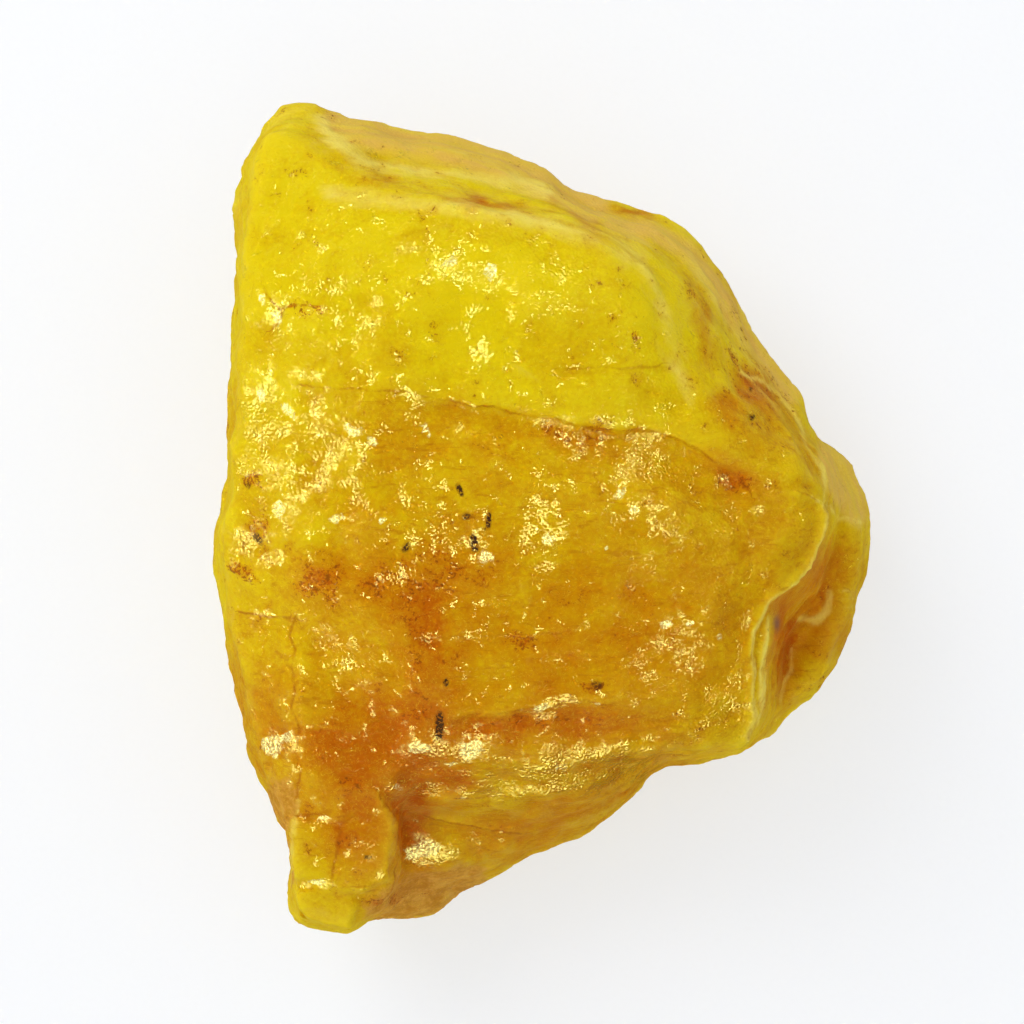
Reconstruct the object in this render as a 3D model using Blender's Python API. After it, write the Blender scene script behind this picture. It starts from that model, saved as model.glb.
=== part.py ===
"""Rough yellow sapphire: one broken lump of natural corundum, lying on its flattest parting face.

Blender 4.5, metres, +Z up. The origin is at the middle of the stone's base, and +Y runs along its length.

The stone is drawn as a surveyor would draw a hill. Break lines follow its edges, ledges and hollows, and a
triangulated cage joins them: the upper lines make the faces seen from above, and the under lines make the
foot. The cage is then given an even skin, weathered with lumps, fibres, scoops and pits, thinned to flat
facets and cut flat underneath.
"""

import math

import bmesh
import bpy
from mathutils import Vector, noise
from mathutils.geometry import delaunay_2d_cdt

MM = 0.001

# Driving dimensions of the finished stone.
LENGTH = 42.0 * MM
WIDTH = 33.4 * MM
HEIGHT = 20.0 * MM
FACETS = 9000

# The even skin, before it is thinned to facets.
SKIN_CELL = 0.5 * MM
EDGE_SOFTENING = 0.5
EDGE_SOFTENING_PASSES = 2
BASE_CUT = 0.5 * MM
WELD = 0.01 * MM

# Every break line below is a list of (x, y, z) in millimetres, measured from the middle of the base.

# The girdle is the widest line, where the upper faces meet the under faces. It runs clockwise from the nose.
GIRDLE = [
    (-13.0, 20.7, 11.5), (-11.1, 20.6, 11.5), (-9.9, 20.0, 11.0), (-7.0, 19.4, 10.5), (-4.4, 19.0, 10.5),
    (-2.1, 18.3, 10.0), (0.0, 17.3, 10.0), (1.2, 16.3, 10.0), (3.9, 15.7, 10.0), (6.2, 15.0, 10.0),
    (7.5, 14.1, 9.5), (8.6, 12.6, 9.5), (9.8, 10.8, 9.5), (10.3, 9.1, 9.5), (11.6, 7.5, 9.5),
    (13.3, 5.9, 9.5), (13.7, 4.4, 9.3), (15.1, 3.3, 6.8), (16.0, 1.6, 6.2), (16.8, -0.2, 6.0),
    (16.8, -2.7, 5.6), (15.9, -4.1, 5.6), (15.8, -5.8, 5.5), (15.1, -7.4, 5.5), (14.0, -8.8, 5.5),
    (12.8, -10.0, 5.6), (11.7, -11.2, 6.0), (10.2, -11.7, 7.0), (8.6, -12.1, 8.0), (7.4, -12.3, 8.4),
    (5.7, -12.4, 8.4), (5.0, -13.5, 8.0), (3.5, -15.0, 7.5), (2.5, -15.8, 7.4), (0.4, -16.3, 7.0),
    (-2.1, -18.1, 6.8), (-3.6, -18.7, 6.4), (-4.4, -18.9, 6.0), (-4.7, -19.8, 6.0), (-5.9, -20.1, 6.0),
    (-7.4, -20.1, 6.2), (-8.7, -20.3, 7.2), (-9.3, -21.0, 9.0), (-10.7, -20.8, 9.0), (-12.2, -20.6, 9.0),
    (-12.9, -20.1, 8.6), (-13.0, -18.9, 8.5), (-12.7, -15.8, 8.4), (-13.3, -15.2, 7.6), (-13.5, -13.6, 7.6),
    (-14.4, -12.7, 8.6), (-14.6, -11.1, 9.0), (-15.2, -8.7, 9.2), (-15.7, -6.1, 9.4), (-16.2, -4.2, 9.5),
    (-16.5, -1.9, 9.5), (-16.4, -0.6, 9.5), (-16.0, 0.9, 9.6), (-15.5, 2.9, 9.9), (-15.3, 5.8, 10.0),
    (-15.4, 9.0, 10.0), (-15.1, 11.4, 10.0), (-15.1, 13.3, 9.0), (-15.2, 14.6, 8.2), (-15.1, 15.7, 8.4),
    (-14.8, 17.6, 10.0), (-13.9, 19.5, 11.0),
]

# The brow is the edge where the broad upper face turns down into the flanks. It runs clockwise from the nose.
BROW = [
    (-13.4, 18.7, 16.2), (-12.4, 19.0, 15.8), (-10.6, 17.3, 17.0), (-7.1, 15.9, 17.7), (-3.6, 15.1, 18.0),
    (0.0, 14.0, 18.1), (3.0, 13.0, 18.0), (5.1, 12.0, 17.7), (6.2, 10.0, 17.7), (7.0, 7.7, 17.7),
    (7.9, 5.7, 17.5), (9.8, 4.2, 17.0), (12.1, 3.0, 16.2), (13.6, 1.5, 15.3), (14.2, 0.1, 14.9),
    (14.1, -1.6, 14.9), (13.2, -3.4, 15.1), (11.7, -5.1, 15.5), (11.0, -6.7, 15.8), (10.9, -9.2, 15.4),
    (10.2, -11.0, 14.0), (8.0, -11.1, 15.1), (6.0, -11.2, 15.6), (3.0, -11.4, 16.0), (0.4, -11.7, 16.2),
    (-2.6, -11.3, 16.5), (-5.1, -11.3, 16.4), (-7.1, -11.8, 16.0), (-7.5, -13.5, 15.6), (-7.2, -15.6, 15.0),
    (-7.2, -18.1, 13.9), (-7.9, -19.3, 12.8), (-9.6, -20.1, 12.2), (-11.7, -19.7, 12.5),
    (-12.3, -18.3, 13.4), (-12.35, -15.9, 14.2), (-12.7, -13.7, 14.6), (-13.6, -12.5, 13.9),
    (-14.0, -11.0, 14.2), (-14.6, -8.8, 14.5), (-15.1, -6.2, 15.0), (-15.6, -3.7, 15.2),
    (-15.8, -1.2, 15.4), (-15.2, 1.3, 15.8), (-14.9, 4.4, 16.2), (-14.9, 8.0, 16.4), (-14.7, 11.5, 16.6),
    (-14.5, 14.5, 16.6), (-14.2, 17.0, 16.4),
]

# Open lines and single heights on the upper side.
UPPER_LINES = {
    "groove of the upper flank": [(-8.0, 17.2, 15.1), (-4.6, 16.6, 14.8), (-1.3, 15.8, 14.8), (1.2, 14.9, 15.0)],
    "swell of the upper flank": [(-8.8, 18.7, 14.2), (-5.2, 17.9, 13.7), (-1.8, 17.0, 13.6), (0.6, 15.8, 13.6)],
    "scar by the upper flank": [(3.2, 14.5, 13.8), (5.4, 13.6, 13.6)],
    "shoulder of the right flank": [(7.4, 11.2, 15.2), (8.7, 8.3, 15.1), (10.2, 6.3, 14.8), (12.2, 4.6, 13.6)],
    "crest of the upper slab": [(-10.7, 13.5, 18.3), (-5.6, 11.0, 19.4), (0.0, 10.5, 19.7), (4.5, 9.5, 19.1)],
    "back of the upper slab": [(-12.2, 9.5, 18.2), (-7.1, 7.4, 19.3), (-2.0, 7.0, 19.6), (3.5, 6.6, 19.2)],
    "lip of the long step": [(-5.6, 6.0, 19.3), (-3.1, 5.8, 19.4), (0.0, 5.3, 19.4), (3.0, 4.7, 19.1),
                             (6.0, 4.1, 18.5), (8.0, 3.4, 17.9), (9.8, 2.4, 17.2)],
    "foot of the long step": [(-5.7, 5.6, 19.1), (-3.2, 5.4, 18.9), (-0.1, 4.8, 18.7), (2.9, 4.2, 18.3),
                              (5.9, 3.6, 17.6), (7.8, 2.9, 17.1), (9.6, 1.9, 16.7)],
    "crest of the middle": [(-12.5, 2.9, 17.6), (-8.1, 2.4, 18.7), (-3.6, 1.9, 19.1), (1.0, 0.9, 19.2),
                            (5.5, 0.4, 18.7), (9.5, -0.7, 17.4), (12.3, -1.0, 16.2)],
    "fall of the middle": [(-12.2, -2.2, 17.2), (-7.1, -2.7, 18.4), (-2.0, -3.7, 18.7), (3.0, -4.2, 18.5),
                           (7.5, -5.2, 17.6)],
    "lower back": [(-10.7, -7.2, 16.8), (-5.6, -7.7, 17.8), (-1.1, -8.2, 17.9), (3.0, -8.2, 17.7),
                   (7.0, -8.7, 17.0)],
    "lip of the low ledge": [(-4.8, -9.8, 17.5), (-2.1, -9.5, 17.6), (0.2, -9.1, 17.6), (3.0, -8.9, 17.4)],
    "foot of the low ledge": [(-4.8, -10.3, 16.8), (-2.0, -10.0, 16.9), (0.4, -9.7, 16.9), (3.1, -9.4, 16.8)],
    "right side of the long crack": [(-12.2, -5.2, 16.9), (-12.2, -9.0, 16.4), (-12.2, -12.6, 15.4)],
    "left side of the long crack": [(-12.6, -5.2, 16.5), (-12.65, -9.0, 15.7), (-12.7, -12.6, 14.6)],
    "back of the foot column": [(-10.1, -12.3, 16.1), (-10.0, -14.8, 15.5), (-9.9, -17.9, 14.4)],
    "foot of the bright slope": [(-7.0, -14.0, 13.4), (-4.6, -14.2, 13.6), (-1.6, -14.2, 13.4),
                                 (2.0, -14.0, 12.4), (4.5, -12.8, 12.2)],
    "foot of the terrace": [(-5.8, -14.8, 11.8), (-3.2, -14.9, 11.9), (-0.4, -14.9, 11.5), (2.2, -14.6, 11.0)],
    "foot of the column's cliff": [(-6.9, -15.6, 11.2), (-6.7, -17.9, 9.6), (-7.4, -19.5, 8.2)],
    "lower slope": [(-4.6, -16.8, 10.8), (-1.6, -16.6, 10.0), (0.9, -15.7, 9.6)],
    "shelf below the slope": [(-5.2, -18.7, 7.8)],
    "foot of the overhang": [(14.2, 3.2, 10.4), (14.8, 1.4, 9.8), (15.0, -0.2, 9.4), (14.8, -1.9, 9.0),
                             (13.9, -3.9, 8.6), (12.5, -5.5, 8.2), (11.8, -7.0, 7.8), (11.6, -9.3, 7.4),
                             (11.1, -11.0, 7.0)],
    "crest of the lobe": [(15.6, 0.9, 9.0), (15.9, -2.2, 8.8), (15.2, -4.3, 8.8), (14.4, -6.2, 8.6),
                          (13.3, -8.6, 8.0)],
}

# The belly and the base make the under side, which slopes in to the face the stone lies on. Both run clockwise
# from the nose.
BELLY = [
    (-12.0, 18.6, 6.2), (-5.5, 17.2, 4.4), (1.0, 15.0, 5.4), (6.4, 12.6, 3.6), (9.4, 8.4, 4.6),
    (12.2, 4.2, 4.0), (14.6, -0.4, 2.6), (14.0, -5.2, 2.8), (11.4, -8.6, 3.4), (7.2, -10.9, 4.6),
    (2.6, -12.9, 3.8), (-2.2, -15.7, 3.6), (-6.4, -17.9, 2.8), (-11.0, -18.4, 4.6), (-12.0, -14.2, 3.4),
    (-14.0, -8.2, 4.8), (-15.2, -1.6, 3.6), (-14.2, 6.4, 5.0), (-13.8, 13.6, 4.0),
]
BASE = [
    (-9.4, 13.4), (-4.2, 13.2), (1.6, 10.8), (5.6, 8.8), (7.8, 3.4), (10.8, -1.8), (10.2, -5.4),
    (5.2, -8.2), (0.4, -9.8), (-3.8, -13.2), (-8.0, -14.8), (-9.6, -10.6), (-11.2, -5.2),
    (-12.2, -0.8), (-10.6, 5.2),
]

# Weathering: how far each kind of relief moves the skin, and the size it repeats at.
LUMPS = {"depth": 0.30 * MM, "size": 7.0 * MM}
CHIPS = {"depth": 0.42 * MM, "size": 3.8 * MM, "reach": 0.7}
FIBRES = {"depth": 0.26 * MM, "size": 1.5 * MM, "stretch": 5.0, "heading": math.radians(-20.0)}
BUMPS = {"depth": 0.08 * MM, "size": 1.3 * MM}
RELIEF_ON_LEVEL_FACES = 0.35
NOISE_GAIN = 1.0
NOISE_LACUNARITY = 2.0

COLOUR = (0.80, 0.56, 0.015, 1.0)
ROUGHNESS = 0.28


def clear_scene():
    for obj in list(bpy.data.objects):
        bpy.data.objects.remove(obj)


def ring(first, count):
    """The edges of a closed line of count points, whose first point has the number first."""
    return [(first + i, first + (i + 1) % count) for i in range(count)]


def chain(first, count):
    """The edges of an open line of count points."""
    return [(first + i, first + i + 1) for i in range(count - 1)]


def triangulate(rings, lines):
    """Joins break lines into triangles, seen from above. rings are closed and lines are open."""
    points = []
    edges = []
    for line in rings:
        edges += ring(len(points), len(line))
        points += line
    for line in lines:
        edges += chain(len(points), len(line))
        points += line
    plan = [Vector(point[:2]) for point in points]
    inside_the_rings = 1
    made = delaunay_2d_cdt(plan, edges, [], inside_the_rings, 1e-6)
    if len(made[0]) != len(points):
        raise ValueError("two break lines cross or touch")
    sources = made[3]
    heights = [points[source[0]][2] for source in sources]
    return [Vector((p.x, p.y, z)) for p, z in zip(made[0], heights)], made[2]


def make_cage():
    """The closed low cage that the break lines span, in metres."""
    base = [(x, y, 0.0) for x, y in BASE]
    upper = triangulate([GIRDLE, BROW], list(UPPER_LINES.values()))
    under = triangulate([GIRDLE, BELLY, base], [])
    cage = bmesh.new()
    for (points, triangles), facing_up in ((upper, True), (under, False)):
        corners = [cage.verts.new(point * MM) for point in points]
        for triangle in triangles:
            a, b, c = (corners[i] for i in triangle)
            turns_left = (b.co - a.co).cross(c.co - a.co).z > 0
            cage.faces.new((a, b, c) if turns_left == facing_up else (a, c, b))
    bmesh.ops.remove_doubles(cage, verts=cage.verts, dist=WELD)
    mesh = bpy.data.meshes.new("stone_cage")
    cage.to_mesh(mesh)
    cage.free()
    return mesh


def apply_modifiers(obj):
    """Swaps the object's mesh for what its modifiers make of it."""
    graph = bpy.context.evaluated_depsgraph_get()
    made = bpy.data.meshes.new_from_object(obj.evaluated_get(graph))
    obj.modifiers.clear()
    obj.data = made


def even_skin(obj):
    """Cells of one size all over, with the cage's edges softened as the tumbled stone's are."""
    remesh = obj.modifiers.new("even cells", "REMESH")
    remesh.mode = "VOXEL"
    remesh.voxel_size = SKIN_CELL
    soften = obj.modifiers.new("soft edges", "SMOOTH")
    soften.factor = EDGE_SOFTENING
    soften.iterations = EDGE_SOFTENING_PASSES
    apply_modifiers(obj)


def layered_noise(point, octaves):
    return noise.fractal(point, NOISE_GAIN, NOISE_LACUNARITY, octaves)


def lumps(point):
    return LUMPS["depth"] * layered_noise(point / LUMPS["size"], 3)


def chips(point):
    """Shallow shell-like scoops that meet in low ridges."""
    nearest = noise.voronoi(point / CHIPS["size"])[0]
    return CHIPS["depth"] * (min(nearest[0], CHIPS["reach"]) - CHIPS["reach"] / 2)


def fibres(point):
    """Long low ridges along the parting."""
    turned = Vector(point)
    turned.x = point.x * math.cos(FIBRES["heading"]) + point.y * math.sin(FIBRES["heading"])
    turned.y = point.y * math.cos(FIBRES["heading"]) - point.x * math.sin(FIBRES["heading"])
    turned.x /= FIBRES["stretch"]
    return FIBRES["depth"] * layered_noise(turned / FIBRES["size"], 2)


def bumps(point):
    return BUMPS["depth"] * layered_noise(point / BUMPS["size"], 2)


def weather(mesh):
    """Moves each point of the skin along its normal by the sum of the reliefs, less on the level faces."""
    normals = [Vector(vertex.normal) for vertex in mesh.vertices]
    for vertex, normal in zip(mesh.vertices, normals):
        point = vertex.co
        share = RELIEF_ON_LEVEL_FACES + (1.0 - RELIEF_ON_LEVEL_FACES) * (1.0 - abs(normal.z))
        depth = lumps(point) + bumps(point) + share * (chips(point) + fibres(point))
        vertex.co = point + normal * depth


def thin_to_facets(obj):
    obj.data.calc_loop_triangles()
    decimate = obj.modifiers.new("flat facets", "DECIMATE")
    decimate.ratio = FACETS / len(obj.data.loop_triangles)
    decimate.use_collapse_triangulate = True
    apply_modifiers(obj)


def cut_base(mesh):
    """Cuts the stone flat underneath, as the parting plane it lies on."""
    stone = bmesh.new()
    stone.from_mesh(mesh)
    everything = stone.verts[:] + stone.edges[:] + stone.faces[:]
    plane = Vector((0.0, 0.0, BASE_CUT))
    down = Vector((0.0, 0.0, -1.0))
    cut = bmesh.ops.bisect_plane(stone, geom=everything, plane_co=plane, plane_no=down, clear_outer=True)
    rim = [item for item in cut["geom_cut"] if isinstance(item, bmesh.types.BMEdge)]
    bmesh.ops.contextual_create(stone, geom=rim)
    stone.to_mesh(mesh)
    stone.free()


def fit_to_size(mesh):
    """Brings the stone to its driving dimensions, with the origin at the middle of its base."""
    low = [min(vertex.co[axis] for vertex in mesh.vertices) for axis in range(3)]
    high = [max(vertex.co[axis] for vertex in mesh.vertices) for axis in range(3)]
    anchor = Vector(((low[0] + high[0]) / 2, (low[1] + high[1]) / 2, low[2]))
    sizes = (WIDTH, LENGTH, HEIGHT)
    for vertex in mesh.vertices:
        offset = vertex.co - anchor
        vertex.co = Vector(offset[axis] * sizes[axis] / (high[axis] - low[axis]) for axis in range(3))


def corundum():
    material = bpy.data.materials.new("yellow_corundum")
    material.use_nodes = True
    shader = material.node_tree.nodes["Principled BSDF"]
    shader.inputs["Base Color"].default_value = COLOUR
    shader.inputs["Roughness"].default_value = ROUGHNESS
    shader.inputs["Metallic"].default_value = 0.0
    return material


def main():
    clear_scene()
    stone = bpy.data.objects.new("rough_sapphire", make_cage())
    bpy.context.scene.collection.objects.link(stone)
    even_skin(stone)
    weather(stone.data)
    thin_to_facets(stone)
    cut_base(stone.data)
    fit_to_size(stone.data)
    stone.data.materials.clear()
    stone.data.materials.append(corundum())


main()
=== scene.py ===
import math

import bpy
import numpy as np
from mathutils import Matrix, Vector, noise


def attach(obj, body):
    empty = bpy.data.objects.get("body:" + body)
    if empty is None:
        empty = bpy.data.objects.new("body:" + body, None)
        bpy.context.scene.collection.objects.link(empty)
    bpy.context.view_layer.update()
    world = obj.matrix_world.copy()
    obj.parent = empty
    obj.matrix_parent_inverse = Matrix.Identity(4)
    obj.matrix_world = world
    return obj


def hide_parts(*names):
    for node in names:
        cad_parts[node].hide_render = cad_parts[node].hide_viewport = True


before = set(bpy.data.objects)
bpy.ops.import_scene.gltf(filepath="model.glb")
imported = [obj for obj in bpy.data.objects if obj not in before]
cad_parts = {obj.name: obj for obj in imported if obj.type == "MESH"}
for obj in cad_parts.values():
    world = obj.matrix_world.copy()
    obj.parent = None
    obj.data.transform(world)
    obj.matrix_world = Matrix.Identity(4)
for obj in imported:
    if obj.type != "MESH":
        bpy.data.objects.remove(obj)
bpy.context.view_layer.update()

# Rough yellow sapphire: a fine weathered skin over the solid, its stains and its studio. Distances are
# millimetres in the model's own frame, +Y along the stone and +Z up. A place is an (x, y) point seen from
# above, and only faces that look up take the marks named there. Pairs that end in _RANGE are the two values
# between which something comes in.

MM = 0.001

# The skin's mesh
SKIN_CELL = 0.215 * MM
SKIN_SOFTENING = 0.5
SKIN_SOFTENING_PASSES = 6

# Relief all over the skin
OCTAVES = 3
SWELL_HEIGHT = 0.10
SWELL_SIZE = 4.5
SCOOP_HEIGHT = 0.09
SCOOP_SIZE = 2.1
FIBRE_HEIGHT = 0.08
FIBRE_SIZE = 1.0
FIBRE_CENTRE = (-9.1, -6.0)
FIBRE_RADIUS = 23.0
FIBRE_STRETCH = 0.18
NET_DEPTH = 0.04
NET_SIZE = 2.0
NET_LINE_RANGE = (0.03, 0.16)
GRIT_HEIGHT = 0.05
GRIT_SIZE = 0.7
GRIT_STRETCH = (1.8, 1.0, 1.0)
GRIT_TURN = math.radians(-8.0)
PLATE_HEIGHT = 0.10
PLATE_SIZE = 2.6
PLATE_SHAPE = (0.7, 1.0, 1.0)
PLATE_SEED = 9.7
FLANK_GAIN = 1.6
RESTING_EDGE_RANGE = (0.25, 0.9)

# Ledges, cracks and rims
CARVED_SLOPE_RANGE = (0.05, 0.35)
STEP_SLOPE = 0.3
STEP_SLOPE_PER_DROP = 0.5
LIP_SHARE = 0.35
LIP_REACH_SHARE = 0.5
UNEVEN_SIZE = 1.4
UNEVEN_OCTAVES = 2
UNEVEN_MIDDLE = 0.75
UNEVEN_SWING = 0.9
UNEVEN_LIMITS = (0.15, 1.5)

# How lines and patches are pushed about, so that they don't look drawn: (size, reach)
SECOND_SEED = 31.7
RAGGED = (0.9, 0.13)
WAVERING = (0.9, 0.12)
BROKEN = (1.6, 0.55)
SCATTERED = (1.4, 0.4)
WHITE_GLINT_WARP = (0.6, 0.12)
APRICOT_WARP = (1.6, 0.2)
NET_WARP = (1.2, 0.35)
PLATE_WARP = (1.5, 0.45)
PATCH_FALL = 1.2
PATCH_SHARPNESS = 1.3

# What is marked on the skin. The sides that the photograph doesn't show are called hidden.
LOOKS_UP_RANGE = (-0.05, 0.25)
FADE_PASSES = 200
SEEN_RANGE = (0.0, 0.5)
FLANK_RANGE = (0.12, 0.75)
UPPER_SIDE_LEAN = 0.6
UPPER_SIDE_RANGE = (6.0, 13.0)
LEVEL_SLOPE_RANGE = (0.40, 0.75)
LEVEL_HEIGHT_RANGE = (8.8, 10.0)
BULGE_PASSES = 60
HIDDEN_SHARE = 0.35
# Depth of a hollow whose painted shade is full
HOLLOW_DEPTH = 0.28
# Height of a bulge whose painted pale glow, as if lit through its thin edge, is full
EDGE_GLOW_HEIGHT = 0.35
DRIFT_SIZE = 7.0
GOLD_MEAN = 0.14
GOLD_DRIFT = 0.10
GOLD_MOTTLE = 0.12
GOLD_MOTTLE_SIZE = 3.0
GOLD_MOTTLE_SEED = 17.3
GOLD_IN_HOLLOWS = 0.30
GOLD_HOLLOW_LIMIT = 0.3
GOLD_IN_PLATES = 0.10
HIDDEN_GOLD = 0.16
HIDDEN_GOLD_DRIFT = 0.16
CREAM_ON_FLANKS = 0.04
CREAM_ON_UPPER_FLANKS = 0.22
CREAM_MOTTLE = 0.10
CREAM_MOTTLE_SIZE = 2.0
APRICOT_FADE = 3
HIDDEN_APRICOT = 0.26
HIDDEN_APRICOT_DRIFT = 0.40
NET_SHOWN = 0.12
NET_SHOWN_ABOVE = 0.60
NET_SLOPE_RANGE = (0.0, 0.6)
INK_FAR = 9.0
INK_END_RANGE = (0.9, 1.1)
CREASE_REACH = 0.6
CREASE_FULL_DEPTH = 0.10
FAINT_CREASES = ("edge of the overhang", "top of the overhang")
FAINT_CREASE_STRENGTH = 0.45

# The upper face ends at this line, and what lies right of it falls away to the lobe.
OVERHANG = [
    (10.1, -10.6), (10.6, -9.6), (10.8, -8.2), (10.8, -7.1), (11.0, -6.0), (11.1, -4.9), (11.4, -4.1),
    (12.0, -3.5), (12.6, -3.0), (13.1, -2.5), (13.6, -1.5), (13.9, -0.5), (14.0, 0.3)]
OVERHANG_START_RANGE = (-11.6, -10.6)
OVERHANG_END_RANGE = (0.3, 1.5)
OVERHANG_FALL = 4.0
OVERHANG_HEIGHT = 6.5
OVERHANG_MOST = 0.95
OVERHANG_REACH = 3.0
LOBE_LEVEL = 9.0
SLACK_RANGE = (0.25, 0.7)
SLACK_PASSES = 6

# The line that is drawn and raised along the overhang, a little inside the one above
OVERHANG_EDGE = [
    (10.0, -10.8), (10.3, -9.7), (10.3, -8.8), (10.3, -7.7), (10.2, -6.5), (10.3, -5.4), (10.7, -4.6),
    (11.1, -3.9), (11.8, -3.5), (12.5, -3.0), (13.0, -2.5), (13.5, -1.5), (13.8, -0.5), (13.9, 0.3)]
OVERHANG_TOP = [(13.9, 0.3), (13.6, 0.9), (13.2, 1.2), (12.5, 1.4)]
OVERHANG_START = (11.4, 1.3)

# Broken faces made flat: (corners, counter-clockwise; a point of the face; its rise along x and along y).
FLAT_EDGE_RANGE = (0.0, 0.25)
FLAT_SLOPE_RANGE = (0.1, 0.4)
FLATS = {
    "left side of the foot's top": (
        [(-12.55, -14.7), (-12.75, -18.0), (-10.1, -18.1), (-9.9, -14.9)],
        (-11.3, -16.3, 14.75), 0.10, 0.33),
    "right side of the foot's top": (
        [(-9.8, -14.0), (-10.0, -18.1), (-9.2, -18.7), (-7.7, -17.9), (-7.4, -15.0), (-8.0, -13.6)],
        (-8.9, -16.3, 15.0), -0.02, 0.34),
    "end of the foot": (
        [(-12.65, -18.3), (-12.45, -20.0), (-9.6, -20.7), (-9.3, -19.1), (-10.2, -18.4)],
        (-11.0, -19.2, 13.45), 0.08, 0.60),
    "side of the left block": (
        [(-14.3, -10.3), (-14.2, -12.0), (-12.8, -12.2), (-12.6, -10.2)],
        (-13.4, -11.1, 15.25), 0.75, 0.15),
}

# Sharp drops. Each line runs with the high side on its left: (points, drop, reach on the low side).
STEPS = {
    "long step": (
        [(-3.5, 5.7), (-2.2, 5.4), (-0.7, 5.1), (0.7, 4.9), (2.7, 4.5), (5.1, 4.4), (6.5, 4.0), (7.6, 3.5),
         (8.2, 3.0), (9.0, 2.7), (9.5, 2.0), (9.9, 1.5)],
        0.15, 1.6),
    "start of the long step": (
        [(-12.0, 6.6), (-10.6, 6.5), (-8.5, 6.4), (-7.1, 6.3), (-5.1, 5.9), (-3.5, 5.7)],
        0.07, 1.2),
    "low ledge": (
        [(-4.4, -9.7), (-2.9, -9.5), (-1.9, -9.4), (-0.4, -9.2), (1.1, -8.9), (2.9, -9.0)],
        0.11, 0.6),
    "glint line": (
        [(-5.7, -5.7), (-3.7, -5.8), (-1.7, -5.6), (0.7, -5.5)],
        0.07, 0.7),
    "top of the left block": (
        [(-15.2, -4.5), (-13.4, -4.8), (-12.2, -4.8)],
        0.10, 0.8),
    "second ledge": (
        [(-6.6, -14.6), (-5.3, -15.0), (-4.5, -15.2), (-3.2, -15.5), (-1.2, -15.8)],
        0.16, 0.7),
    "shoulder ledge of the foot": (
        [(-12.4, -14.7), (-11.4, -14.5), (-10.6, -14.7), (-9.9, -14.6)],
        0.16, 0.5),
    "scratch on the slab": (
        [(0.7, 7.4), (3.6, 7.5), (5.6, 7.6)],
        0.05, 0.5),
    "right edge of the foot": (
        [(-8.6, -19.4), (-7.7, -18.5), (-7.3, -16.9), (-7.3, -14.9), (-8.2, -13.6)],
        0.32, 0.5),
    "crease of the foot": (
        [(-10.6, -18.0), (-10.3, -16.2), (-10.0, -14.8)],
        0.08, 0.7),
    "edge of the overhang": (OVERHANG_EDGE, 0.32, 0.5),
    "top of the overhang": (OVERHANG_TOP, 0.30, 0.5),
}

# Narrow cracks: (points, depth, half width).
CRACKS = {
    "long crack": (
        [(-12.3, -4.7), (-12.7, -5.6), (-12.4, -6.4), (-12.6, -7.3), (-12.3, -8.4), (-12.5, -9.4),
         (-12.2, -10.3), (-12.4, -11.4), (-12.1, -12.4), (-12.4, -13.9)],
        0.08, 0.17),
    "forked crack": (
        [(-13.8, 11.4), (-13.5, 10.8), (-13.0, 10.3), (-13.1, 9.7), (-13.5, 9.4)],
        0.14, 0.20),
    "branch of the forked crack": (
        [(-13.0, 10.4), (-12.0, 10.5), (-11.1, 10.4)],
        0.10, 0.14),
    "foot of the long step": (
        [(-2.2, 5.35), (-0.7, 5.05), (0.7, 4.8), (2.7, 4.4), (5.1, 4.3), (6.5, 3.9), (7.6, 3.4)],
        0.06, 0.20),
    "streak by the low ledge": (
        [(-5.2, -9.5), (-5.2, -10.7)],
        0.12, 0.18),
}

# Raised rims: (points, height, half width).
RIMS = {
    "rim of the overhang": (
        [OVERHANG_START] + OVERHANG_TOP[::-1] + OVERHANG_EDGE[-2::-1],
        0.08, 0.22),
    "outer rim": (
        [(11.1, -4.9), (11.0, -6.0), (10.8, -7.1), (10.8, -8.2), (10.8, -9.3), (10.5, -10.2)],
        0.10, 0.22),
    "foot of the bright slope": (
        [(-7.7, -13.1), (-6.8, -13.6), (-5.7, -13.9), (-4.4, -13.7), (-3.1, -14.1), (-2.4, -13.6),
         (-1.1, -13.5), (0.4, -13.7), (1.3, -13.9)],
        0.14, 0.35),
    "upper streak": (
        [(-11.6, 20.4), (-10.9, 19.3), (-10.0, 18.2), (-9.2, 17.5), (-7.9, 17.2), (-5.6, 17.0), (-3.0, 16.6)],
        0.16, 0.45),
    "brow streak": (
        [(-9.9, 16.1), (-8.5, 15.9), (-6.6, 15.7), (-4.6, 15.4), (-2.3, 14.9), (0.0, 14.7), (1.7, 14.1)],
        0.12, 0.45),
}

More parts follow.
